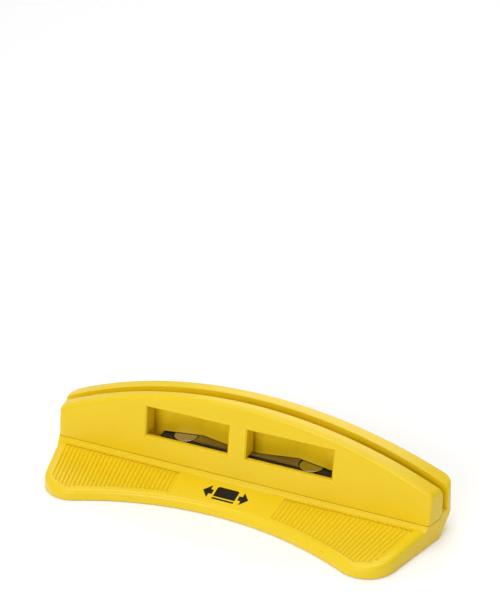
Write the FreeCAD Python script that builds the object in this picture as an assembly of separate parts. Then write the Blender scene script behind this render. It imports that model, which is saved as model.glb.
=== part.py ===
"""Wax scraper sharpener: a hand tool that trues the edge of a plastic ski scraper.

The scraper stands in a long arched slot and is pulled over a short steel file at the
slot's floor.  Two windows in the front wall let the shavings out.  Millimetres.

X runs along the slot, Y from the front grip to the rear wall, Z up.
The origin is the middle of the footprint, on the surface the tool stands on.
"""
import FreeCAD
import Part

import math
import os

# ---------------------------------------------------------------- driving dimensions
PAD_PROUD = 0.3          # rubber pads lift the moulding this far off the bench
FOOT_Y = 7.6             # front wall's front face, where it meets the grip flange
END_HALF = 100.5         # half length at the front wall's foot
END_TAPER = 0.30         # the ends splay outwards by this much per unit of depth
END_DRAFT = 0.032        # and lean inwards by this much per unit of height

FLANGE_MID_DEPTH = 19.3  # grip flange in front of the wall, at the middle
FRONT_RADIUS = 159.0     # hollow front edge of the flange
FRONT_CORNER_R = 16.0
REAR_CORNER_R = 6.7
SMALLEST_CORNER_R = 0.4
LIP_Z = 5.4              # top of the flange along its front edge
FLANGE_REAR_Z = 9.6      # top of the flange at the wall, below the cove
LIP_ROUND = 2.6
LIP_OVERRUN = 1.0        # the flange's top is drawn this far past the front edge,
LIP_OVERRUN_DROP = 0.15  # and this much lower, before the edge cuts it off
COVE = 3.4               # concave band that rises from the flange to the wall
COVE_SINK = 0.7          # the cove's foot is this far below the flange's top

SHELF_Z = 11.0           # the front wall stands on this shelf
SEAM_EASE = 0.12         # softened edge along the front wall's foot
WALL_LEAN = 0.146        # the front wall's front face leans back
SLOT_FRONT_Y = FOOT_Y + 11.0
SLOT_FLOOR_Z = 13.6      # floor of the slot, beyond the file's bed
SLOT_TOP_WIDTH = 5.7
SLOT_FILE_WIDTH = 3.9    # the slot's width at the file
REAR_WALL_TOP = 6.2      # rear wall's thickness at the top
REAR_LEAN = 0.03         # the rear face leans forwards
CORNER_CUT_Y = FOOT_Y + 9.6   # a slanting face trims each lower rear corner from here
CORNER_CUT_Z = 18.0
CORNER_CUT_X = 14.0      # how far along the rear face it reaches
CORNER_CUT_ROUND = 2.0
ARCH_TOP_Z = 48.7
FRONT_ARCH_R = 241.0
REAR_ARCH_R = 250.0
ARCH_MEAN_Z = 41.0       # mean height of the arched edges
ARCH_CORNER_R = 3.5
SLOT_EDGE_ROUND = 0.4
REAR_EDGE_ROUND = 0.9
FRONT_EDGE_ROUND = 2.0
JOINT_GAP = 0.05         # clearance between moulded parts that do not carry load

WINDOW_INNER_X = 5.0
WINDOW_OUTER_X = 50.3
WINDOW_LOW_Z = 22.3
WINDOW_HIGH_Z = 37.6
WINDOW_BEVEL = 0.7
WINDOW_BEVEL_NEAR = 2.0  # the bevel's cutter starts this far in front of the wall
SILL_DEPTH = 2.5         # the wall below the windows is only this thick
RELIEF_MIDDLE = 26.4     # chip relief in the rear wall, behind each window
RELIEF_HALF = 19.7
RELIEF_DEPTH = 4.0
RELIEF_TOP_Z = 36.0

FILE_TOP_Z = 19.1
FILE_THICK = 3.0
FILE_FRONT_Y = FOOT_Y + 11.8
FILE_WIDTH = 8.1
FILE_LEDGE = 1.3         # thin ends of the file, under the screw heads
CLAMP_X = 34.6
CLAMP_Y = FOOT_Y + 15.8
CLAMP_HEAD_R = 6.1
CLAMP_HEAD_GAP = 0.7     # between a head and the file
CLAMP_HEAD_DROP = 0.1    # the heads stay this far below the file's face
CLAMP_HEAD_EASE = 0.35
CLAMP_SHANK_R = 1.5
CLAMP_REST_R = 2.6       # the file's ends stop this far short of the screws' middles
CLAMP_TIP = 0.8          # the shanks come out of the inserts by this much
SOCKET_R = 0.87          # hexagon socket in the screw's lower end
SOCKET_DEPTH = 1.5

BED_HALF = 46.8
BED_GAP = 0.15
BED_END_ROOM = 4.0       # the front wall stays this far off the bed's ends
BED_TOP_Z = 18.6
BED_BAR_REAR_Y = FOOT_Y + 12.2
BED_RIM = 1.3            # thickness of the rim in front of the file
BED_LEDGE = 1.0          # thickness of the bed under the file's rear half
POCKET_ROOF_GAP = 0.1    # between the file's face and the roof of the pocket behind it
POCKET_REAR_GAP = 0.2    # between the file's rear edge and the pocket

SKIN = 2.6               # general wall thickness of the base moulding
RIB_THICK = 1.8
RIB_PITCH = 15.5
BOSS_R = 4.2
INSERT_R = 2.3
INSERT_LENGTH = 3.0
INSERT_RING_DEPTH = 0.25
INSERT_RING_WIDTH = 0.4
INSERT_RINGS = (0.5, 1.3, 2.1)
WALL_SCREW_X = (62.0, 88.0)
WALL_SCREW_Y = FOOT_Y + 5.6
WALL_SCREW_R = 1.5
WALL_SCREW_HEAD_R = 2.9
WALL_SCREW_HEAD = 2.0
WALL_SCREW_HEAD_EASE = 0.8
WALL_SCREW_LENGTH = 12.0
WALL_SCREW_SEAT = 4.1    # the heads sit this far below the shelf
CROSS_REACH = 1.5        # cross recess in the head
CROSS_WIDTH = 0.7
CROSS_DEPTH = 1.0
PEG_X = 75.0
PEG_R = 2.0
PEG_LENGTH = 2.0
FIT_GAP = 0.1
HOLE_CLEARANCE = 0.15
HEAD_CLEARANCE = 0.3
ACCESS_CLEARANCE = 0.2
PRESS_GAP = 0.02         # a screw is this much smaller than the thread it turns in

GROOVE_COUNT = 28
GROOVE_PITCH = 2.36
GROOVE_START_X = 29.5    # innermost groove, measured where it starts near the wall
GROOVE_RADIUS = 1.15
GROOVE_DEPTH = 0.65
GROOVE_WALL_GAP = 3.2
GROOVE_FRONT_GAP = 4.2
GROOVE_END_GAP = 5.0
GROOVE_STEP = 0.1        # grooves are lengthened in steps of this size

PAD_R = 3.6
PAD_THICK = 1.5
PAD_WALL = 1.6
PAD_EASE = 0.2
PAD_PLACES = ((80.0, -20.0), (75.0, 24.0))

BIG = 130.0              # reaches past the whole tool
CUT_TOP_Z = 60.0         # above the whole tool
FRONT_CENTRE_Y = FOOT_Y - FLANGE_MID_DEPTH - FRONT_RADIUS


# ---------------------------------------------------------------- small helpers
def vec(x, y, z=0.0):
    return FreeCAD.Vector(x, y, z)


def box(x0, x1, y0, y1, z0, z1):
    return Part.makeBox(x1 - x0, y1 - y0, z1 - z0, vec(x0, y0, z0))


def cylinder(radius, x, y, z0, z1):
    return Part.makeCylinder(radius, z1 - z0, vec(x, y, z0))


def prism_along_x(outline, half=BIG):
    """Extrude a closed outline of (y, z) points along X."""
    wire = Part.makePolygon([vec(-half, y, z) for y, z in outline + outline[:1]])
    return Part.Face(wire).extrude(vec(2 * half, 0, 0))


def prism_along_z(outline, z0, z1):
    """Extrude a closed outline of (x, y) points along Z."""
    wire = Part.makePolygon([vec(x, y, z0) for x, y in outline + outline[:1]])
    return Part.Face(wire).extrude(vec(0, 0, z1 - z0))


def joined(shapes):
    first, *rest = shapes
    return first.fuse(rest).removeSplitter()


def mirrored(shape):
    return shape.mirror(vec(0, 0, 0), vec(1, 0, 0))


def both_sides(shape):
    return [shape, mirrored(shape)]


def rounded(shape, radius, wanted):
    """Round every edge of shape for which wanted(edge) is true."""
    edges = [edge for edge in shape.Edges if wanted(edge)]
    return shape.makeFillet(radius, edges)


def end_x(y):
    """Half length of the tool at depth y, at the height of the shelf."""
    return END_HALF + END_TAPER * (y - FOOT_Y)


def rear_wall_face(z):
    """Depth of the slot's rear face at height z: the slot narrows towards the file."""
    lean = (SLOT_TOP_WIDTH - SLOT_FILE_WIDTH) / (ARCH_TOP_Z - FILE_TOP_Z)
    return SLOT_FRONT_Y + SLOT_FILE_WIDTH + lean * (z - FILE_TOP_Z)


def rear_face(z):
    """Depth of the tool's rear face at height z."""
    top_y = rear_wall_face(ARCH_TOP_Z) + REAR_WALL_TOP
    return top_y + REAR_LEAN * (ARCH_TOP_Z - z)


# ---------------------------------------------------------------- outlines
def front_corner(inset):
    """Where the front arc meets the end line, both moved inwards by inset."""
    radius = FRONT_RADIUS + inset
    shift = inset * math.hypot(1, END_TAPER)
    base = END_HALF - shift + END_TAPER * (FRONT_CENTRE_Y - FOOT_Y)
    a = 1 + END_TAPER ** 2
    b = 2 * base * END_TAPER
    c = base ** 2 - radius ** 2
    rise = (-b + math.sqrt(b * b - 4 * a * c)) / (2 * a)
    return base + END_TAPER * rise, FRONT_CENTRE_Y + rise


def front_outline(inset, z0, z1):
    """A wide block with the tool's hollow front edge, moved inwards by inset."""
    radius = FRONT_RADIUS + inset
    side_y = FRONT_CENTRE_Y + math.sqrt(radius ** 2 - BIG ** 2)
    front = Part.Arc(
        vec(-BIG, side_y, z0),
        vec(0, FRONT_CENTRE_Y + radius, z0),
        vec(BIG, side_y, z0),
    ).toShape()
    sides = Part.makePolygon([
        vec(BIG, side_y, z0),
        vec(BIG, BIG, z0),
        vec(-BIG, BIG, z0),
        vec(-BIG, side_y, z0),
    ])
    return Part.Face(Part.Wire([front] + sides.Edges)).extrude(vec(0, 0, z1 - z0))


def right_of_end(inset, z0, z1):
    """Everything on the middle's side of the right end, which splays and leans."""
    shift = inset * math.hypot(1, END_TAPER, END_DRAFT) + END_DRAFT * (z0 - SHELF_Z)
    outline = [
        vec(end_x(-BIG) - shift, -BIG, z0),
        vec(end_x(BIG) - shift, BIG, z0),
        vec(-2 * BIG, BIG, z0),
        vec(-2 * BIG, -BIG, z0),
        vec(end_x(-BIG) - shift, -BIG, z0),
    ]
    rise = z1 - z0
    return Part.Face(Part.makePolygon(outline)).extrude(vec(-END_DRAFT * rise, 0, rise))


def square_block(inset, z0, z1):
    """The tool's outline from above, as a block: hollow front, splayed and leaning ends."""
    before_rear = prism_along_x([
        (-BIG, z0),
        (rear_face(z0) - inset, z0),
        (rear_face(z1) - inset, z1),
        (-BIG, z1),
    ])
    inside_right = right_of_end(inset, z0, z1)
    block = front_outline(inset, z0, z1).common(before_rear)
    block = block.common(inside_right).common(mirrored(inside_right))

    def front_upright(edge):
        return edge.BoundBox.ZLength > 0.9 * (z1 - z0) and edge.CenterOfMass.y < 0

    return rounded(block, FRONT_CORNER_R - inset, front_upright)


def plan_block(inset, z0, z1):
    """The same block with its rear corners rounded as well."""
    def rear_upright(edge):
        return edge.BoundBox.ZLength > 0.9 * (z1 - z0) and edge.CenterOfMass.y > FOOT_Y

    radius = max(REAR_CORNER_R - inset, SMALLEST_CORNER_R)
    return rounded(square_block(inset, z0, z1), radius, rear_upright)


def flange_surface(drop):
    """Top of the grip flange: straight lines from the wall down past the hollow lip."""
    radius = FRONT_RADIUS - LIP_OVERRUN
    reach = 0.9 * radius
    side = math.sqrt(radius ** 2 - reach ** 2)
    low = LIP_Z - LIP_OVERRUN_DROP - drop
    lip = Part.Arc(
        vec(-reach, FRONT_CENTRE_Y + side, low),
        vec(0, FRONT_CENTRE_Y + radius, low),
        vec(reach, FRONT_CENTRE_Y + side, low),
    ).toShape()
    wall = Part.makeLine(
        vec(-reach, FOOT_Y, FLANGE_REAR_Z - drop),
        vec(reach, FOOT_Y, FLANGE_REAR_Z - drop),
    )
    return Part.makeRuledSurface(lip, wall)


def height_on(surface, x, y):
    """Height of a surface above the point (x, y)."""
    plumb = Part.makeLine(vec(x, y, -20), vec(x, y, 40))
    return plumb.distToShape(surface)[1][0][0].z


def arch_block(radius):
    """Everything below an arched top."""
    drop = radius - math.sqrt(radius ** 2 - BIG ** 2)
    top = Part.Arc(
        vec(-BIG, -BIG, ARCH_TOP_Z - drop),
        vec(0, -BIG, ARCH_TOP_Z),
        vec(BIG, -BIG, ARCH_TOP_Z - drop),
    ).toShape()
    sides = Part.makePolygon([
        vec(BIG, -BIG, ARCH_TOP_Z - drop),
        vec(BIG, -BIG, -1),
        vec(-BIG, -BIG, -1),
        vec(-BIG, -BIG, ARCH_TOP_Z - drop),
    ])
    return Part.Face(Part.Wire([top] + sides.Edges)).extrude(vec(0, 2 * BIG, 0))


# ---------------------------------------------------------------- base moulding
def flange():
    """Grip flange with its rounded lip."""
    under = flange_surface(0).extrude(vec(0, 0, -40))
    block = plan_block(0, PAD_PROUD, 30).common(under)

    def on_rim(edge):
        middle = edge.valueAt((edge.FirstParameter + edge.LastParameter) / 2)
        return (
            middle.z > LIP_Z - 0.5
            and middle.y < FOOT_Y - 0.5
            and edge.BoundBox.ZLength < 4
        )

    return rounded(block, LIP_ROUND, on_rim)


def cove():
    """Concave band along the foot of the front wall."""
    bottom_z = FLANGE_REAR_Z - COVE_SINK
    curve = Part.Arc(
        vec(-BIG, FOOT_Y, SHELF_Z),
        vec(-BIG, FOOT_Y - 0.3 * COVE, bottom_z + 0.45 * (SHELF_Z - bottom_z)),
        vec(-BIG, FOOT_Y - COVE, bottom_z),
    ).toShape()
    back = Part.makePolygon([
        vec(-BIG, FOOT_Y - COVE, bottom_z),
        vec(-BIG, FOOT_Y - COVE, 3),
        vec(-BIG, FOOT_Y, 3),
        vec(-BIG, FOOT_Y, SHELF_Z),
    ])
    band = Part.Face(Part.Wire([curve] + back.Edges)).extrude(vec(2 * BIG, 0, 0))
    return band.common(plan_block(0, PAD_PROUD, 30))


def rear_body():
    """Shelf, slot floor and rear guide wall in one piece."""
    step_y = SLOT_FRONT_Y - (SLOT_FLOOR_Z - SHELF_Z)
    outline = [
        (FOOT_Y, PAD_PROUD),
        (FOOT_Y, SHELF_Z),
        (step_y, SHELF_Z),
        (step_y, SLOT_FLOOR_Z),
        (rear_wall_face(SLOT_FLOOR_Z), SLOT_FLOOR_Z),
        (rear_wall_face(CUT_TOP_Z), CUT_TOP_Z),
        (rear_face(CUT_TOP_Z), CUT_TOP_Z),
        (rear_face(PAD_PROUD), PAD_PROUD),
    ]
    body = prism_along_x(outline).common(square_block(0, PAD_PROUD, CUT_TOP_Z))
    body = round_shoulders(body.common(arch_block(REAR_ARCH_R)))
    body = ease_arch_edge(body, SLOT_EDGE_ROUND, rear_wall_face(ARCH_MEAN_Z))
    body = ease_arch_edge(body, REAR_EDGE_ROUND, rear_face(ARCH_MEAN_Z))
    body = body.common(plan_block(0, PAD_PROUD, CUT_TOP_Z))
    body = round_corner_cuts(body.cut(corner_cutters(0)))
    return body.cut(foot_roll(SLOT_FLOOR_Z - SHELF_Z + JOINT_GAP))


def corner_cutters(inset):
    """Everything beyond the two slanting faces at the lower rear corners, moved inwards by inset."""
    high = vec(end_x(rear_face(CORNER_CUT_Z)), rear_face(CORNER_CUT_Z), CORNER_CUT_Z)
    front = vec(end_x(CORNER_CUT_Y), CORNER_CUT_Y, PAD_PROUD)
    inner = vec(high.x - CORNER_CUT_X, rear_face(PAD_PROUD), PAD_PROUD)
    outward = (front - high).cross(inner - high).normalize()
    cutter = box(-BIG / 2, BIG / 2, -BIG / 2, BIG / 2, 0, BIG / 2)
    turn = FreeCAD.Rotation(vec(0, 0, 1), outward)
    cutter.Placement = FreeCAD.Placement(high - outward * inset, turn)
    return both_sides(cutter)


def round_corner_cuts(body):
    """Round the edges that the slanting faces make with the ends and the rear."""
    def above_the_foot(edge):
        size = edge.BoundBox
        slants = size.ZLength > 0.5 and edge.CenterOfMass.z < CORNER_CUT_Z
        return slants and abs(edge.CenterOfMass.x) > 80 and edge.CenterOfMass.y > CORNER_CUT_Y

    return rounded(body, CORNER_CUT_ROUND, above_the_foot)


def foot_roll(radius):
    """Long cylinder that follows the front wall's rounded lower rear edge."""
    middle_y = SLOT_FRONT_Y - (SLOT_FLOOR_Z - SHELF_Z)
    return Part.makeCylinder(radius, 2 * BIG, vec(-BIG, middle_y, SLOT_FLOOR_Z), vec(1, 0, 0))


def round_shoulders(body):
    """Round the corners where the arched top meets the ends."""
    def shoulder(edge):
        middle = edge.CenterOfMass
        return (
            abs(middle.x) > 90
            and middle.z > 24
            and edge.BoundBox.ZLength < 2.5
            and edge.BoundBox.YLength > 2.5
        )

    return rounded(body, ARCH_CORNER_R, shoulder)


def ease_arch_edge(body, radius, depth):
    """Round the long arched edge that runs at about this depth."""
    def long_arch(edge):
        size = edge.BoundBox
        return size.XLength > 150 and size.ZLength > 10 and abs(edge.CenterOfMass.y - depth) < 1

    return rounded(body, radius, long_arch)


def chip_reliefs():
    """A shallow V in the rear wall behind each window, so that shavings can turn out."""
    face = rear_wall_face(FILE_TOP_Z)
    outline = [
        (RELIEF_MIDDLE - RELIEF_HALF, face),
        (RELIEF_MIDDLE, face + RELIEF_DEPTH),
        (RELIEF_MIDDLE + RELIEF_HALF, face),
        (RELIEF_MIDDLE + RELIEF_HALF, face - RELIEF_DEPTH),
        (RELIEF_MIDDLE - RELIEF_HALF, face - RELIEF_DEPTH),
    ]
    return both_sides(prism_along_z(outline, FILE_TOP_Z - FILE_LEDGE, RELIEF_TOP_Z))


def clamp_seat():
    """Height of the ledges that the clamp screws' heads press on."""
    return FILE_TOP_Z - FILE_THICK + FILE_LEDGE


def file_pocket():
    """Room for the bed, the file and the screw heads, let into the slot floor."""
    half = BED_HALF + BED_GAP
    low = FILE_TOP_Z - FILE_THICK - BED_LEDGE
    roof = FILE_TOP_Z + POCKET_ROOF_GAP
    rear = FILE_FRONT_Y + FILE_WIDTH + POCKET_REAR_GAP
    start = SLOT_FRONT_Y - (SLOT_FLOOR_Z - SHELF_Z) - BED_GAP
    bar_room = box(-half, half, start, BED_BAR_REAR_Y + BED_GAP, SHELF_Z, roof)
    file_room = box(-half, half, start, rear, low, roof)
    head_room = cylinder(CLAMP_HEAD_R + HEAD_CLEARANCE, CLAMP_X, CLAMP_Y, clamp_seat() - JOINT_GAP, roof)
    return [bar_room, file_room] + both_sides(head_room)


def hollow():
    """Open underside, less the ribs and bosses that stay in it."""
    ceiling = SHELF_Z - SKIN
    under_flange = plan_block(SKIN, -1, CUT_TOP_Z).common(
        flange_surface(SKIN).extrude(vec(0, 0, -2 * ARCH_TOP_Z)))
    behind = box(-BIG, BIG, FOOT_Y - JOINT_GAP, rear_face(PAD_PROUD) - SKIN, -1, ceiling)
    behind = behind.common(plan_block(SKIN, -1, CUT_TOP_Z))
    room = under_flange.fuse(behind).cut(corner_cutters(SKIN))
    keep = [box(-BIG, BIG, FOOT_Y - RIB_THICK, FOOT_Y, PAD_PROUD, CUT_TOP_Z)]
    count = int(END_HALF // RIB_PITCH)
    for step in range(-count, count + 1):
        left = step * RIB_PITCH - RIB_THICK / 2
        keep.append(box(left, left + RIB_THICK, -BIG, BIG, PAD_PROUD, CUT_TOP_Z))
    for x in WALL_SCREW_X:
        keep += both_sides(cylinder(BOSS_R, x, WALL_SCREW_Y, PAD_PROUD, CUT_TOP_Z))
    for x, y in PAD_PLACES:
        keep += both_sides(cylinder(PAD_R + PAD_WALL, x, y, PAD_PROUD, CUT_TOP_Z))
    return room.cut(keep)


def grip_grooves():
    """Finger grooves on both halves of the flange, fanned so that the outer ones follow the ends."""
    surface = flange_surface(0)
    start_y = FOOT_Y - GROOVE_WALL_GAP
    cutters = []
    for step in range(GROOVE_COUNT):
        x0 = GROOVE_START_X + step * GROOVE_PITCH
        x0 = min(x0, end_x(start_y) - GROOVE_END_GAP)
        slope = END_TAPER * x0 / END_HALF
        y1 = groove_front(x0, start_y, slope)
        x1 = x0 + slope * (y1 - start_y)
        lift = GROOVE_RADIUS - GROOVE_DEPTH
        start = vec(x0, start_y, height_on(surface, x0, start_y) + lift)
        stop = vec(x1, y1, height_on(surface, x1, y1) + lift)
        run = stop - start
        cutters.append(Part.makeCylinder(GROOVE_RADIUS, run.Length, start, run))
    return cutters + [mirrored(cutter) for cutter in cutters]


def groove_front(x0, start_y, slope):
    """Depth at which a groove that starts at (x0, start_y) stops short of the lip."""
    limit = FRONT_RADIUS + GROOVE_FRONT_GAP
    corner_x, corner_y = rounded_corner_centre()
    y = start_y
    while True:
        y -= GROOVE_STEP
        x = x0 + slope * (y - start_y)
        if math.hypot(x, y - FRONT_CENTRE_Y) < limit:
            return y
        beyond = x > corner_x and y < corner_y
        if beyond and math.hypot(x - corner_x, y - corner_y) > FRONT_CORNER_R - GROOVE_FRONT_GAP:
            return y


def rounded_corner_centre():
    """Centre of the flange's rounded front corner."""
    return front_corner(FRONT_CORNER_R)


def screw_holes():
    """Holes for the wall screws, locating pegs, inserts, clamp screws and pads."""
    above = SHELF_Z + 1
    insert_top = FILE_TOP_Z - FILE_THICK - BED_LEDGE
    holes = []
    for x in WALL_SCREW_X:
        holes += both_sides(cylinder(WALL_SCREW_R + HOLE_CLEARANCE, x, WALL_SCREW_Y, -1, above))
        head_seat = SHELF_Z - WALL_SCREW_SEAT
        holes += both_sides(cylinder(WALL_SCREW_HEAD_R + HEAD_CLEARANCE, x, WALL_SCREW_Y, -1, head_seat))
    peg_low = SHELF_Z - PEG_LENGTH - HEAD_CLEARANCE
    holes += both_sides(cylinder(PEG_R + FIT_GAP, PEG_X, WALL_SCREW_Y, peg_low, above))
    insert_low = insert_top - INSERT_LENGTH
    holes += both_sides(cylinder(INSERT_R, CLAMP_X, CLAMP_Y, insert_low, insert_top))
    holes += both_sides(cylinder(CLAMP_SHANK_R + ACCESS_CLEARANCE, CLAMP_X, CLAMP_Y, -1, insert_top))
    for x, y in PAD_PLACES:
        holes += both_sides(cylinder(PAD_R, x, y, -1, PAD_THICK))
    return holes


def base_body():
    body = joined([flange(), cove(), rear_body()])
    body = body.cut(chip_reliefs() + file_pocket())
    body = body.cut(hollow())
    body = body.cut(screw_holes())
    body = body.cut(grip_grooves())
    return body


# ---------------------------------------------------------------- front guide wall
def wall_face(z):
    """Depth of the front wall's front face at height z."""
    return FOOT_Y + WALL_LEAN * (z - SHELF_Z)


def window_cutters():
    """One chip window with a bevelled frame on the front face."""
    hole = box(WINDOW_INNER_X, WINDOW_OUTER_X, -BIG, BIG, WINDOW_LOW_Z, WINDOW_HIGH_Z)
    wide = WINDOW_BEVEL + WINDOW_BEVEL_NEAR
    frames = []
    for extra, offset in ((wide, -WINDOW_BEVEL_NEAR), (0.0, WINDOW_BEVEL)):
        low = WINDOW_LOW_Z - extra
        high = WINDOW_HIGH_Z + extra
        frames.append(Part.makePolygon([
            vec(WINDOW_INNER_X - extra, wall_face(low) + offset, low),
            vec(WINDOW_OUTER_X + extra, wall_face(low) + offset, low),
            vec(WINDOW_OUTER_X + extra, wall_face(high) + offset, high),
            vec(WINDOW_INNER_X - extra, wall_face(high) + offset, high),
            vec(WINDOW_INNER_X - extra, wall_face(low) + offset, low),
        ]))
    return [hole, Part.makeLoft(frames, True, True)]


def seam_cutter():
    """Softens the edge along the front wall's foot."""
    return prism_along_x([
        (FOOT_Y + SEAM_EASE, SHELF_Z),
        (FOOT_Y - SEAM_EASE, SHELF_Z),
        (FOOT_Y - SEAM_EASE, SHELF_Z + 2 * SEAM_EASE),
    ])


def sill_back():
    """Depth of the rear face of the thin wall below the windows."""
    return wall_face(WINDOW_LOW_Z) + SILL_DEPTH


def front_guide_wall():
    outline = [
        (FOOT_Y, SHELF_Z),
        (wall_face(CUT_TOP_Z), CUT_TOP_Z),
        (SLOT_FRONT_Y, CUT_TOP_Z),
        (SLOT_FRONT_Y, SLOT_FLOOR_Z),
        (SLOT_FRONT_Y - (SLOT_FLOOR_Z - SHELF_Z), SHELF_Z),
    ]
    wall = prism_along_x(outline).fuse(foot_roll(SLOT_FLOOR_Z - SHELF_Z)).removeSplitter()
    wall = wall.common(plan_block(0, 0, CUT_TOP_Z)).common(arch_block(FRONT_ARCH_R))
    wall = round_shoulders(wall)
    wall = ease_arch_edge(wall, FRONT_EDGE_ROUND, wall_face(ARCH_MEAN_Z))
    wall = ease_arch_edge(wall, SLOT_EDGE_ROUND, SLOT_FRONT_Y)
    wall = wall.cut(seam_cutter())
    for cutter in window_cutters():
        wall = wall.cut(both_sides(cutter))
    half = BED_HALF + BED_END_ROOM
    wall = wall.cut(box(-half, half, sill_back(), BIG, 0, WINDOW_LOW_Z))
    holes = []
    hole_top = SHELF_Z + WALL_SCREW_LENGTH
    for x in WALL_SCREW_X:
        holes += both_sides(cylinder(WALL_SCREW_R, x, WALL_SCREW_Y, SHELF_Z - 1, hole_top))
    wall = wall.cut(holes)
    pegs = both_sides(cylinder(PEG_R, PEG_X, WALL_SCREW_Y, SHELF_Z - PEG_LENGTH, SHELF_Z + 1))
    return wall.fuse(pegs).removeSplitter()


# ---------------------------------------------------------------- file and its fixings
def file_plate():
    """Flat file; a screw head sits in the round notch at each thinned end."""
    tip = CLAMP_X - CLAMP_REST_R
    low = FILE_TOP_Z - FILE_THICK
    plate = box(-tip, tip, FILE_FRONT_Y, FILE_FRONT_Y + FILE_WIDTH, low, FILE_TOP_Z)
    notch = cylinder(CLAMP_HEAD_R + CLAMP_HEAD_GAP, CLAMP_X, CLAMP_Y, clamp_seat(), FILE_TOP_Z + 1)
    return plate.cut(both_sides(notch))


def file_bed():
    """Black tray that carries the file and fills the room behind the sill."""
    low = FILE_TOP_Z - FILE_THICK
    rim_y = FILE_FRONT_Y - BED_RIM
    rear = FILE_FRONT_Y + FILE_WIDTH + JOINT_GAP
    tip = CLAMP_X - CLAMP_REST_R + JOINT_GAP
    bar = box(-BED_HALF, BED_HALF, sill_back() + BED_GAP, BED_BAR_REAR_Y, SHELF_Z, low)
    tray = box(-BED_HALF, BED_HALF, rim_y, rear, low - BED_LEDGE, BED_TOP_Z)
    bed = bar.fuse(tray).removeSplitter()
    room = box(-tip, tip, FILE_FRONT_Y - JOINT_GAP, BIG, low, CUT_TOP_Z)
    heads = cylinder(CLAMP_HEAD_R + HEAD_CLEARANCE, CLAMP_X, CLAMP_Y, clamp_seat(), CUT_TOP_Z)
    shanks = cylinder(CLAMP_SHANK_R + ACCESS_CLEARANCE, CLAMP_X, CLAMP_Y, 0, CUT_TOP_Z)
    return bed.cut([room] + both_sides(heads) + both_sides(shanks))


def clamp_screw():
    """Large plain-headed screw; it is turned by a hexagon socket in its lower end."""
    top = FILE_TOP_Z - CLAMP_HEAD_DROP
    tip = FILE_TOP_Z - FILE_THICK - BED_LEDGE - INSERT_LENGTH - CLAMP_TIP
    head = cylinder(CLAMP_HEAD_R, CLAMP_X, CLAMP_Y, clamp_seat(), top)
    head = rounded(head, CLAMP_HEAD_EASE, lambda edge: edge.CenterOfMass.z > top - 0.01)
    shank = cylinder(CLAMP_SHANK_R, CLAMP_X, CLAMP_Y, tip, top - CLAMP_HEAD_EASE)
    corners = [math.radians(60 * step) for step in range(6)]
    socket = [(CLAMP_X + SOCKET_R * math.cos(a), CLAMP_Y + SOCKET_R * math.sin(a)) for a in corners]
    return joined([head, shank]).cut(prism_along_z(socket, tip - 1, tip + SOCKET_DEPTH))


def insert():
    """Brass insert with three grip rings, which the clamp screw turns in."""
    low = FILE_TOP_Z - FILE_THICK - BED_LEDGE - INSERT_LENGTH
    body = cylinder(INSERT_R, CLAMP_X, CLAMP_Y, low, low + INSERT_LENGTH)
    inner_r = INSERT_R - INSERT_RING_DEPTH
    for start in INSERT_RINGS:
        stop = start + INSERT_RING_WIDTH
        outside = cylinder(INSERT_R + 1, CLAMP_X, CLAMP_Y, low + start, low + stop)
        inside = cylinder(inner_r, CLAMP_X, CLAMP_Y, low + start, low + stop)
        body = body.cut(outside.cut(inside))
    return body.cut(cylinder(CLAMP_SHANK_R + PRESS_GAP, CLAMP_X, CLAMP_Y, 0, CUT_TOP_Z))


def wall_screw(x):
    """Pan-headed screw driven up through the shelf into the front wall."""
    seat = SHELF_Z - WALL_SCREW_SEAT
    low = seat - WALL_SCREW_HEAD
    tip = SHELF_Z + WALL_SCREW_LENGTH - 1
    shank = cylinder(WALL_SCREW_R - PRESS_GAP, x, WALL_SCREW_Y, seat - 0.1, tip)
    head = cylinder(WALL_SCREW_HEAD_R, x, WALL_SCREW_Y, low, seat)
    head = rounded(head, WALL_SCREW_HEAD_EASE, lambda edge: edge.CenterOfMass.z < low + 0.01)
    cross = []
    for long_x, long_y in ((CROSS_REACH, CROSS_WIDTH / 2), (CROSS_WIDTH / 2, CROSS_REACH)):
        cross.append(box(
            x - long_x,
            x + long_x,
            WALL_SCREW_Y - long_y,
            WALL_SCREW_Y + long_y,
            low - 1,
            low + CROSS_DEPTH,
        ))
    return joined([shank, head]).cut(cross)


def pads():
    """Soft pads that keep the tool from sliding on the bench."""
    shapes = []
    for x, y in PAD_PLACES:
        pad = cylinder(PAD_R, x, y, 0, PAD_THICK)
        pad = rounded(pad, PAD_EASE, lambda edge: edge.CenterOfMass.z < 0.01)
        shapes += both_sides(pad)
    return shapes


# ---------------------------------------------------------------- write the nodes
def nodes():
    wall_screws = []
    for x in WALL_SCREW_X:
        wall_screws += both_sides(wall_screw(x))
    return {
        "base_body": base_body(),
        "front_guide_wall": front_guide_wall(),
        "file_plate": file_plate(),
        "file_bed": file_bed(),
        "file_clamp_screws": Part.makeCompound(both_sides(clamp_screw())),
        "clamp_screw_inserts": Part.makeCompound(both_sides(insert())),
        "guide_wall_screws": Part.makeCompound(wall_screws),
        "anti_slip_pads": Part.makeCompound(pads()),
    }


os.makedirs("parts", exist_ok=True)
for name, shape in nodes().items():
    if len(shape.Solids) == 1:
        shape = shape.Solids[0]
    shape.exportStep(os.path.join("parts", name + ".step"))
    bounds = shape.BoundBox
    print(
        f"{name}: {len(shape.Solids)} solid(s), valid {shape.isValid()}, volume {shape.Volume:.0f}, "
        f"X {bounds.XMin:.2f}..{bounds.XMax:.2f} Y {bounds.YMin:.2f}..{bounds.YMax:.2f} "
        f"Z {bounds.ZMin:.2f}..{bounds.ZMax:.2f}"
    )
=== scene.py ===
"""Looks of the wax scraper sharpener: materials, detailed pieces, light and camera.

Every length is in metres in the CAD frame: X along the slot, Y from the grip flange to
the rear wall, Z up from the bench.
"""

import math

import bmesh
import bpy
from mathutils import Matrix, Vector
from mathutils.bvhtree import BVHTree


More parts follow.
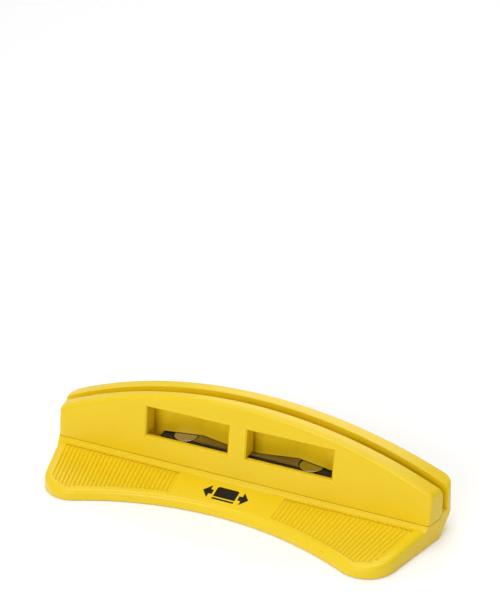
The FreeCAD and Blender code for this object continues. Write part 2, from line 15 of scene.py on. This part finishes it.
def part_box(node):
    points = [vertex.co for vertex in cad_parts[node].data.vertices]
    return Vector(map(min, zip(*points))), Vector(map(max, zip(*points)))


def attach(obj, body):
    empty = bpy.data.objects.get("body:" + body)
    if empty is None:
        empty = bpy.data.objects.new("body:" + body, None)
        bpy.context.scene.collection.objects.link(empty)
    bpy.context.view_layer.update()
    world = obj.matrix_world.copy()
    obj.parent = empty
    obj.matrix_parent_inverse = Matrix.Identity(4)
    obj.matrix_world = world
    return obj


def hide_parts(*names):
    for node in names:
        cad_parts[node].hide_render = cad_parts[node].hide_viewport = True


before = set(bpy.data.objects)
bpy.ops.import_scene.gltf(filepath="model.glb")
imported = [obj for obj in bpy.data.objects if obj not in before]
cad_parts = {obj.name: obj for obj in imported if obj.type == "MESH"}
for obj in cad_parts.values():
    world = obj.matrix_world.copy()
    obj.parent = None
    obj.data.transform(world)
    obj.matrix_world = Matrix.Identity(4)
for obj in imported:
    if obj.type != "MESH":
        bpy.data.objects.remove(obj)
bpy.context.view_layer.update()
MM = 0.001

# the file's teeth, in millimetres unless noted
TOOTH_PITCH = 0.8
TOOTH_DEPTH = 0.2
TOOTH_SLANT = 0.45       # shift along X for each millimetre across the file
TOOTH_ROWS = 25          # lines of mesh points across the file
# each tooth as (share of the pitch, share of the depth)
TOOTH_PROFILE = ((0.0, 0.0), (0.16, 1.0), (0.30, 1.0), (0.90, 0.0))
NOTCH_GAP = 0.7          # air around a screw head in the file's round notch
LEDGE_THICK = 1.3        # thinned ends that the screw heads press on

# the pictogram on the flange, in millimetres
PRINT_MIDDLE_Y = -2.6
PRINT_THICK = 0.03
PRINT_EDGE = 1.2         # longest mesh edge, so that the print follows the flange
BLADE = [(-5.8, -2.4), (5.8, -2.4), (5.8, 3.5), (5.0, 4.3), (-5.0, 4.3), (-5.8, 3.5)]
GUIDE_LINE = [(-5.8, -4.3), (5.8, -4.3), (5.8, -3.2), (-5.8, -3.2)]
ARROW = [
    (6.9, -1.5), (8.6, -1.5), (8.6, -4.3), (12.2, 0.0),
    (8.6, 4.3), (8.6, 1.5), (6.9, 1.5)]

FLOOR_HALF = 8.0         # metres
WORLD_LEFT = 0.50        # brightness of the room on the left
WORLD_RIGHT = 0.22
LENS = 87.81             # millimetres, on a sensor 36 mm wide
SENSOR = 36.0
EYE = (0.26192, -0.55018, 0.39767)
EYE_TURN = 24.474        # degrees about Z, to the right of straight in front
EYE_DIP = 25.109         # degrees below level
EYE_ROLL = 0.259


# ---------------------------------------------------------------- node helpers
class Shader:
    """A material under construction: add() makes a node and wires its inputs."""

    def __init__(self, name):
        self.material = bpy.data.materials.new(name)
        self.material.use_nodes = True
        self.tree = self.material.node_tree
        self.tree.nodes.clear()
        self.output = self.tree.nodes.new("ShaderNodeOutputMaterial")

    def add(self, kind, settings=None, **inputs):
        node = self.tree.nodes.new("ShaderNode" + kind)
        for key, value in (settings or {}).items():
            setattr(node, key, value)
        for key, value in inputs.items():
            socket = self.socket(node, key)
            if isinstance(value, bpy.types.NodeSocket):
                self.tree.links.new(value, socket)
            else:
                socket.default_value = value
        return node

    @staticmethod
    def socket(node, key):
        """Input by its label in snake case, or by its place as in_0, in_1."""
        if key.startswith("in_"):
            return node.inputs[int(key[3:])]
        wanted = key.replace("_", " ").lower()
        for socket in node.inputs:
            if socket.name.lower() == wanted and socket.enabled:
                return socket
        raise KeyError(f"{node.bl_idname} has no input {key}")

    def place(self, x=1.0, y=1.0, z=1.0, turn=0.0):
        """Object coordinates in millimetres, turned about Z and scaled along each axis."""
        source = self.add("TexCoord").outputs["Object"]
        size = (x / MM, y / MM, z / MM)
        mapping = self.add("Mapping", vector=source, scale=size, rotation=(0, 0, turn))
        return mapping.outputs[0]

    def noise(self, where, scale, detail=3.0, roughness=0.55, distortion=0.0):
        """Noise with blobs of about 1 / scale millimetres."""
        return self.add(
            "TexNoise", vector=where, scale=scale, detail=detail,
            roughness=roughness, distortion=distortion).outputs[0]

    def ramp(self, factor, stops):
        """Colour ramp through (position, grey or colour) stops."""
        node = self.add("ValToRGB", fac=factor)
        line = node.color_ramp
        while len(line.elements) < len(stops):
            line.elements.new(0.5)
        for element, (position, value) in zip(line.elements, stops):
            element.position = position
            colour = (value,) * 3 if isinstance(value, (int, float)) else value
            element.color = (*colour, 1.0)
        return node.outputs[0]

    def math(self, operation, a, b=0.0):
        return self.add("Math", {"operation": operation}, in_0=a, in_1=b).outputs[0]

    def span(self, value, low, high, to_low, to_high):
        """Map value from low..high to to_low..to_high, held at the ends."""
        return self.add(
            "MapRange", value=value, from_min=low, from_max=high,
            to_min=to_low, to_max=to_high).outputs[0]

    def mix(self, factor, a, b, blend="MIX"):
        node = self.add("Mix", {"data_type": "RGBA", "blend_type": blend})
        for place, value in ((0, factor), (6, a), (7, b)):
            if isinstance(value, bpy.types.NodeSocket):
                self.tree.links.new(value, node.inputs[place])
            elif isinstance(value, tuple):
                node.inputs[place].default_value = (*value, 1.0)
            else:
                node.inputs[place].default_value = value
        return node.outputs[2]

    def bump(self, height, depth, normal=None):
        """Bump of the given depth in millimetres for a height of 0 to 1."""
        inputs = {"height": height, "distance": depth * MM, "strength": 1.0}
        if normal is not None:
            inputs["normal"] = normal
        return self.add("Bump", **inputs).outputs[0]

    def crevice(self, reach):
        """1 in the open, falling towards 0 where the surface is closed in within reach mm."""
        node = self.add("AmbientOcclusion", {"samples": 8}, distance=reach * MM)
        return node.outputs["AO"]

    def ridge(self, reach):
        """0 on flats, rising towards 1 within reach mm of an outer edge."""
        node = self.add("AmbientOcclusion", {"samples": 8, "inside": True}, distance=reach * MM)
        return self.span(node.outputs["AO"], 0.5, 0.95, 1.0, 0.0)

    def surface(self, **inputs):
        shader = self.add("BsdfPrincipled", **inputs)
        self.tree.links.new(shader.outputs[0], self.output.inputs[0])
        return self.material


# ---------------------------------------------------------------- materials
def yellow_plastic():
    """Injection-moulded yellow plastic with a satin tool finish and light handling marks,
    painted shade in crevices and a painted highlight along outer edges.
    """
    s = Shader("yellow_plastic")
    here = s.place()
    flow = s.noise(s.place(0.4, 1.0, 1.0), 0.035, 2.0)
    body = s.ramp(flow, [(0.35, (0.870, 0.610, 0.0070)), (0.65, (0.895, 0.635, 0.0100))])
    speck = s.ramp(s.noise(here, 1.6, 4.0, 0.7), [(0.30, 0.95), (0.55, 1.0)])
    body = s.mix(1.0, body, speck, "MULTIPLY")
    # painted shade: darker, more orange colour where the surface is closed in within 1.2 mm
    crevice_shade = s.span(s.crevice(1.2), 0.30, 0.88, 0.0, 1.0)
    body = s.mix(crevice_shade, (0.62, 0.39, 0.003), body)
    # painted highlight: paler, lighter colour within 0.5 mm of outer edges
    body = s.mix(s.math("MULTIPLY", s.ridge(0.5), 0.30), body, (0.92, 0.69, 0.05))
    scuffs = s.noise(s.place(0.25, 1.0, 1.0, 0.5), 0.9, 6.0, 0.75, 0.4)
    rubbed = s.ramp(scuffs, [(0.60, 0.0), (0.74, 1.0)])
    grain = s.noise(here, 2.6, 3.0, 0.6)
    roughness = s.span(grain, 0.3, 0.7, 0.25, 0.33)
    roughness = s.math("ADD", roughness, s.math("MULTIPLY", rubbed, 0.10))
    soft_edges = s.add("Bevel", {"samples": 4}, radius=0.35 * MM).outputs[0]
    ripple = s.bump(s.noise(here, 0.05, 2.0), 0.10, soft_edges)
    texture = s.bump(grain, 0.006, ripple)
    return s.surface(
        base_color=body, roughness=roughness, normal=texture, ior=1.49,
        specular_ior_level=0.36)


def file_steel():
    """Hardened steel with streaks from grinding, slightly browned by oil and wax, with painted
    shade in the tooth gullets and a painted highlight on the tooth crests.
    """
    s = Shader("file_steel_cut")
    streaks = s.noise(s.place(0.06, 3.0, 1.0), 2.2, 5.0, 0.7)
    stain = s.noise(s.place(), 0.12, 3.0, 0.6, 0.6)
    tone = s.ramp(stain, [(0.35, (0.40, 0.35, 0.25)), (0.62, (0.56, 0.50, 0.40))])
    tone = s.mix(0.35, tone, s.ramp(streaks, [(0.3, 0.55), (0.7, 1.0)]), "MULTIPLY")
    # painted highlight: lighter steel colour on the tooth crests and outer edges
    edge = s.ridge(0.12)
    tone = s.mix(s.math("MULTIPLY", edge, 0.6), tone, (0.76, 0.71, 0.60))
    # painted shade: dark brown where the surface is closed in within 0.5 mm, in the gullets
    # between teeth
    gullet_shade = s.span(s.crevice(0.5), 0.3, 0.9, 0.0, 1.0)
    tone = s.mix(gullet_shade, (0.16, 0.13, 0.07), tone)
    roughness = s.span(streaks, 0.3, 0.7, 0.24, 0.36)
    normal = s.bump(streaks, 0.006)
    return s.surface(base_color=tone, metallic=1.0, roughness=roughness, normal=normal)


def black_plastic():
    """Glass-filled black plastic with a fine spark-eroded texture, a little dust and a painted
    highlight along outer edges.
    """
    s = Shader("black_plastic_textured")
    here = s.place()
    grain = s.noise(here, 3.5, 4.0, 0.7)
    dust = s.ramp(s.noise(here, 0.35, 6.0, 0.75), [(0.55, 0.0), (0.80, 1.0)])
    tone = s.mix(s.math("MULTIPLY", dust, 0.25), (0.010, 0.010, 0.010), (0.10, 0.085, 0.04))
    # painted highlight: lighter grey within 0.25 mm of outer edges
    tone = s.mix(s.math("MULTIPLY", s.ridge(0.25), 0.5), tone, (0.05, 0.05, 0.05))
    return s.surface(
        base_color=tone, roughness=s.span(grain, 0.3, 0.7, 0.42, 0.62),
        normal=s.bump(grain, 0.012))


def plated_steel():
    """Turned, zinc-plated steel: fine lathe rings, a soft sheen, a painted highlight on edges
    and painted shade in crevices.
    """
    s = Shader("zinc_plated_steel")
    here = s.place()
    blotch = s.noise(here, 0.6, 4.0, 0.6)
    tone = s.ramp(blotch, [(0.3, (0.44, 0.42, 0.36)), (0.7, (0.54, 0.52, 0.46))])
    scratches = s.noise(s.place(0.3, 3.0, 1.0, 0.6), 2.0, 6.0, 0.8)
    # painted highlight: lighter metal colour within 0.2 mm of outer edges
    tone = s.mix(s.math("MULTIPLY", s.ridge(0.2), 0.5), tone, (0.78, 0.77, 0.75))
    # painted shade: darker where the surface is closed in within 0.8 mm
    tone = s.mix(s.span(s.crevice(0.8), 0.3, 0.9, 0.0, 1.0), (0.12, 0.11, 0.09), tone)
    return s.surface(
        base_color=tone, metallic=1.0, roughness=s.span(scratches, 0.3, 0.7, 0.14, 0.22),
        normal=s.bump(scratches, 0.004))


def brass():
    """Turned brass, slightly tarnished, with painted shade in crevices."""
    s = Shader("turned_brass")
    here = s.place()
    tarnish = s.noise(here, 0.5, 4.0, 0.65)
    tone = s.ramp(tarnish, [(0.3, (0.48, 0.32, 0.12)), (0.7, (0.72, 0.53, 0.24))])
    # painted shade: dark brown where the surface is closed in within 0.6 mm
    tone = s.mix(s.span(s.crevice(0.6), 0.3, 0.9, 0.0, 1.0), (0.14, 0.09, 0.03), tone)
    rings = s.noise(s.place(0.3, 0.3, 6.0), 1.5, 3.0)
    return s.surface(
        base_color=tone, metallic=1.0, roughness=s.span(rings, 0.3, 0.7, 0.26, 0.42),
        normal=s.bump(rings, 0.006))


def rubber():
    """Matt rubber pad with a fine grain and a trace of bench dust."""
    s = Shader("pad_rubber_grained")
    here = s.place()
    grain = s.noise(here, 2.2, 5.0, 0.7)
    dust = s.ramp(s.noise(here, 0.5, 5.0, 0.7), [(0.50, 0.0), (0.78, 1.0)])
    tone = s.mix(s.math("MULTIPLY", dust, 0.35), (0.016, 0.016, 0.016), (0.14, 0.13, 0.11))
    return s.surface(
        base_color=tone, roughness=s.span(grain, 0.3, 0.7, 0.72, 0.9),
        normal=s.bump(grain, 0.03))


def printing_ink():
    """Pad-printed black ink: thin, slightly glossy, with pinholes and softened edges."""
    s = Shader("printing_ink_black")
    here = s.place()
    patch = s.noise(here, 0.8, 5.0, 0.7)
    tone = s.ramp(patch, [(0.3, (0.006, 0.005, 0.004)), (0.75, (0.016, 0.013, 0.008))])
    return s.surface(
        base_color=tone, roughness=s.span(patch, 0.3, 0.7, 0.40, 0.52), specular_ior_level=0.15,
        normal=s.bump(s.noise(here, 2.6, 3.0, 0.6), 0.005))


def floor_white():
    """Matt white studio floor, faintly lit from within so that it stays white."""
    s = Shader("studio_floor")
    fibre = s.noise(s.place(), 0.02, 2.0)
    tone = s.ramp(fibre, [(0.3, (0.94, 0.94, 0.94)), (0.7, (0.96, 0.96, 0.96))])
    return s.surface(
        base_color=tone, roughness=0.9, specular_ior_level=0.1,
        emission_color=tone, emission_strength=0.08)


# ---------------------------------------------------------------- mesh helpers
def make_object(name, mesh_builder, material, smooth_angle=None):
    """New object from a bmesh; smooth_angle in degrees shades gentler edges smooth."""
    mesh = bpy.data.meshes.new(name)
    mesh_builder.normal_update()
    mesh_builder.to_mesh(mesh)
    mesh_builder.free()
    thing = bpy.data.objects.new(name, mesh)
    bpy.context.scene.collection.objects.link(thing)
    mesh.materials.append(material)
    if smooth_angle is not None:
        mesh.shade_smooth()
        mesh.set_sharp_from_angle(angle=math.radians(smooth_angle))
    return thing


def finish_cad(node, material):
    """Give a CAD node a better material without touching its mesh."""
    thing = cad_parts[node]
    for place in range(len(thing.material_slots)):
        thing.material_slots[place].link = "OBJECT"
        thing.material_slots[place].material = material
    return thing


def surface_tree(node):
    """Search tree over the faces of a CAD node."""
    faces = bmesh.new()
    faces.from_mesh(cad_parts[node].data)
    tree = BVHTree.FromBMesh(faces)
    faces.free()
    return tree


# ---------------------------------------------------------------- pieces
def cut_file(material):
    """The flat file: slanting cut teeth, round screw notches, thin ledges at both ends."""
    low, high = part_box("file_plate")
    screws_low, screws_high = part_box("file_clamp_screws")
    head_r = (screws_high.y - screws_low.y) / 2
    screw_x = screws_high.x - head_r
    screw_y = (screws_low.y + screws_high.y) / 2
    notch_r = head_r + NOTCH_GAP * MM
    ledge_z = low.z + LEDGE_THICK * MM

    def notch_edge(y):
        """Half length of the toothed face at depth y, where the notches' walls cut it."""
        return screw_x - math.sqrt(notch_r ** 2 - (y - screw_y) ** 2)

    pitch = TOOTH_PITCH * MM
    count = int((high.x - low.x) / pitch)
    stations = [
        (tooth * pitch + share * pitch, -sunk * TOOTH_DEPTH * MM)
        for tooth in range(-count, count)
        for share, sunk in TOOTH_PROFILE]
    bm = bmesh.new()
    grid = []
    for row in range(TOOTH_ROWS):
        y = low.y + (high.y - low.y) * row / (TOOTH_ROWS - 1)
        edge = notch_edge(y)
        line = []
        for x, drop in stations:
            moved = x + TOOTH_SLANT * (y - screw_y)
            kept = min(max(moved, -edge), edge)
            line.append(bm.verts.new((kept, y, high.z + drop if kept == moved else high.z)))
        grid.append(line)
    for near, far in zip(grid, grid[1:]):
        for place in range(len(stations) - 1):
            bm.faces.new((near[place], near[place + 1], far[place + 1], far[place]))
    bmesh.ops.remove_doubles(bm, verts=bm.verts[:], dist=0.5e-6)
    rim = [edge for edge in bm.edges if edge.is_boundary]
    for part in bmesh.ops.extrude_edge_only(bm, edges=rim)["geom"]:
        if isinstance(part, bmesh.types.BMVert):
            part.co.z = ledge_z
    for vert in bmesh.ops.create_cube(bm, size=1.0)["verts"]:
        vert.co.x = high.x if vert.co.x > 0 else low.x
        vert.co.y = high.y if vert.co.y > 0 else low.y
        vert.co.z = ledge_z if vert.co.z > 0 else low.z
    bmesh.ops.recalc_face_normals(bm, faces=bm.faces[:])
    piece = make_object("file_with_teeth", bm, material)
    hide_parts("file_plate")
    return piece


def pictogram(material):
    """Black pad print on the flange: a scraper blade over a guide line, with two arrows."""
    tree = surface_tree("base_body")
    left_arrow = [(-x, y) for x, y in reversed(ARROW)]
    bm = bmesh.new()
    for outline in (BLADE, GUIDE_LINE, ARROW, left_arrow):
        corners = [(x * MM, (y + PRINT_MIDDLE_Y) * MM, 0.0) for x, y in outline]
        bm.faces.new([bm.verts.new(corner) for corner in corners])
    bmesh.ops.triangulate(bm, faces=bm.faces[:])
    for _ in range(4):  # halving the longest edges four times brings all under the limit
        long = [edge for edge in bm.edges if edge.calc_length() > PRINT_EDGE * MM]
        bmesh.ops.subdivide_edges(bm, edges=long, cuts=1)
        bmesh.ops.triangulate(bm, faces=bm.faces[:])
    down = Vector((0, 0, -1))
    above_flange = 30 * MM
    for vert in bm.verts:
        above = Vector((vert.co.x, vert.co.y, above_flange))
        point, normal, _, _ = tree.ray_cast(above, down)
        vert.co = point + normal * PRINT_THICK * MM
    bmesh.ops.recalc_face_normals(bm, faces=bm.faces[:])
    if sum(face.normal.z for face in bm.faces) < 0:
        bmesh.ops.reverse_faces(bm, faces=bm.faces[:])
    return make_object("flange_pictogram", bm, material)


# ---------------------------------------------------------------- build
yellow = yellow_plastic()
steel = file_steel()
black = black_plastic()
zinc = plated_steel()

finish_cad("base_body", yellow)
finish_cad("front_guide_wall", yellow)
finish_cad("file_bed", black)
finish_cad("file_clamp_screws", zinc)
finish_cad("guide_wall_screws", zinc)
finish_cad("clamp_screw_inserts", brass())
finish_cad("anti_slip_pads", rubber())

for piece in (cut_file(steel), pictogram(printing_ink())):
    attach(piece, "root")


# ---------------------------------------------------------------- stage
def studio_floor():
    """Large flat floor that the tool stands on."""
    bm = bmesh.new()
    bmesh.ops.create_grid(bm, x_segments=8, y_segments=8, size=FLOOR_HALF)
    floor = make_object("studio_floor", bm, floor_white())


def area_light(name, place, target, size, power):
    """Soft box of the given width and height in metres, aimed at target."""
    data = bpy.data.lights.new(name, "AREA")
    data.shape = "RECTANGLE"
    data.size, data.size_y = size
    data.energy = power
    light = bpy.data.objects.new(name, data)
    bpy.context.scene.collection.objects.link(light)
    light.location = place
    aim = Vector(target) - Vector(place)
    light.rotation_euler = aim.to_track_quat("-Z", "Y").to_euler()


def studio_light():
    """White room with a soft box low in front, one above, and one over the floor behind."""
    world = bpy.data.worlds.new("studio_world")
    bpy.context.scene.world = world
    world.use_nodes = True
    tree = world.node_tree
    sky = tree.nodes["Background"]
    direction = tree.nodes.new("ShaderNodeTexCoord")
    split = tree.nodes.new("ShaderNodeSeparateXYZ")
    side = tree.nodes.new("ShaderNodeMapRange")
    tree.links.new(direction.outputs["Generated"], split.inputs[0])
    tree.links.new(split.outputs["X"], side.inputs["Value"])
    side.inputs["From Min"].default_value = -1.0
    side.inputs["From Max"].default_value = 1.0
    side.inputs["To Min"].default_value = WORLD_LEFT
    side.inputs["To Max"].default_value = WORLD_RIGHT
    tree.links.new(side.outputs[0], sky.inputs["Strength"])
    sky.inputs["Color"].default_value = (1.0, 1.0, 1.0, 1.0)
    area_light("front_light", (-0.17, -1.71, 0.82), (0, 0, 0.02), (1.0, 0.6), 12.0)
    area_light("top_light", (0.0, 0.0, 1.7), (0, 0, 0.0), (1.4, 1.4), 15.5)
    area_light("back_light", (-0.4, 1.9, 1.5), (-0.3, 1.3, 0.0), (1.8, 1.0), 14.0)


def camera():
    """Camera in front, to the right and above, with everything in focus."""
    data = bpy.data.cameras.new("camera")
    data.sensor_width = SENSOR
    data.lens = LENS
    data.clip_start = 0.05
    data.clip_end = 30.0
    eye = bpy.data.objects.new("camera", data)
    bpy.context.scene.collection.objects.link(eye)
    eye.location = EYE
    around = Matrix.Rotation(math.radians(EYE_TURN), 3, "Z")
    tilt = Matrix.Rotation(math.radians(90 - EYE_DIP), 3, "X")
    roll = Matrix.Rotation(math.radians(EYE_ROLL), 3, "Z")
    eye.rotation_euler = (around @ tilt @ roll).to_euler()
    bpy.context.scene.camera = eye


studio_floor()
studio_light()
camera()
bpy.context.scene.view_settings.view_transform = "Standard"
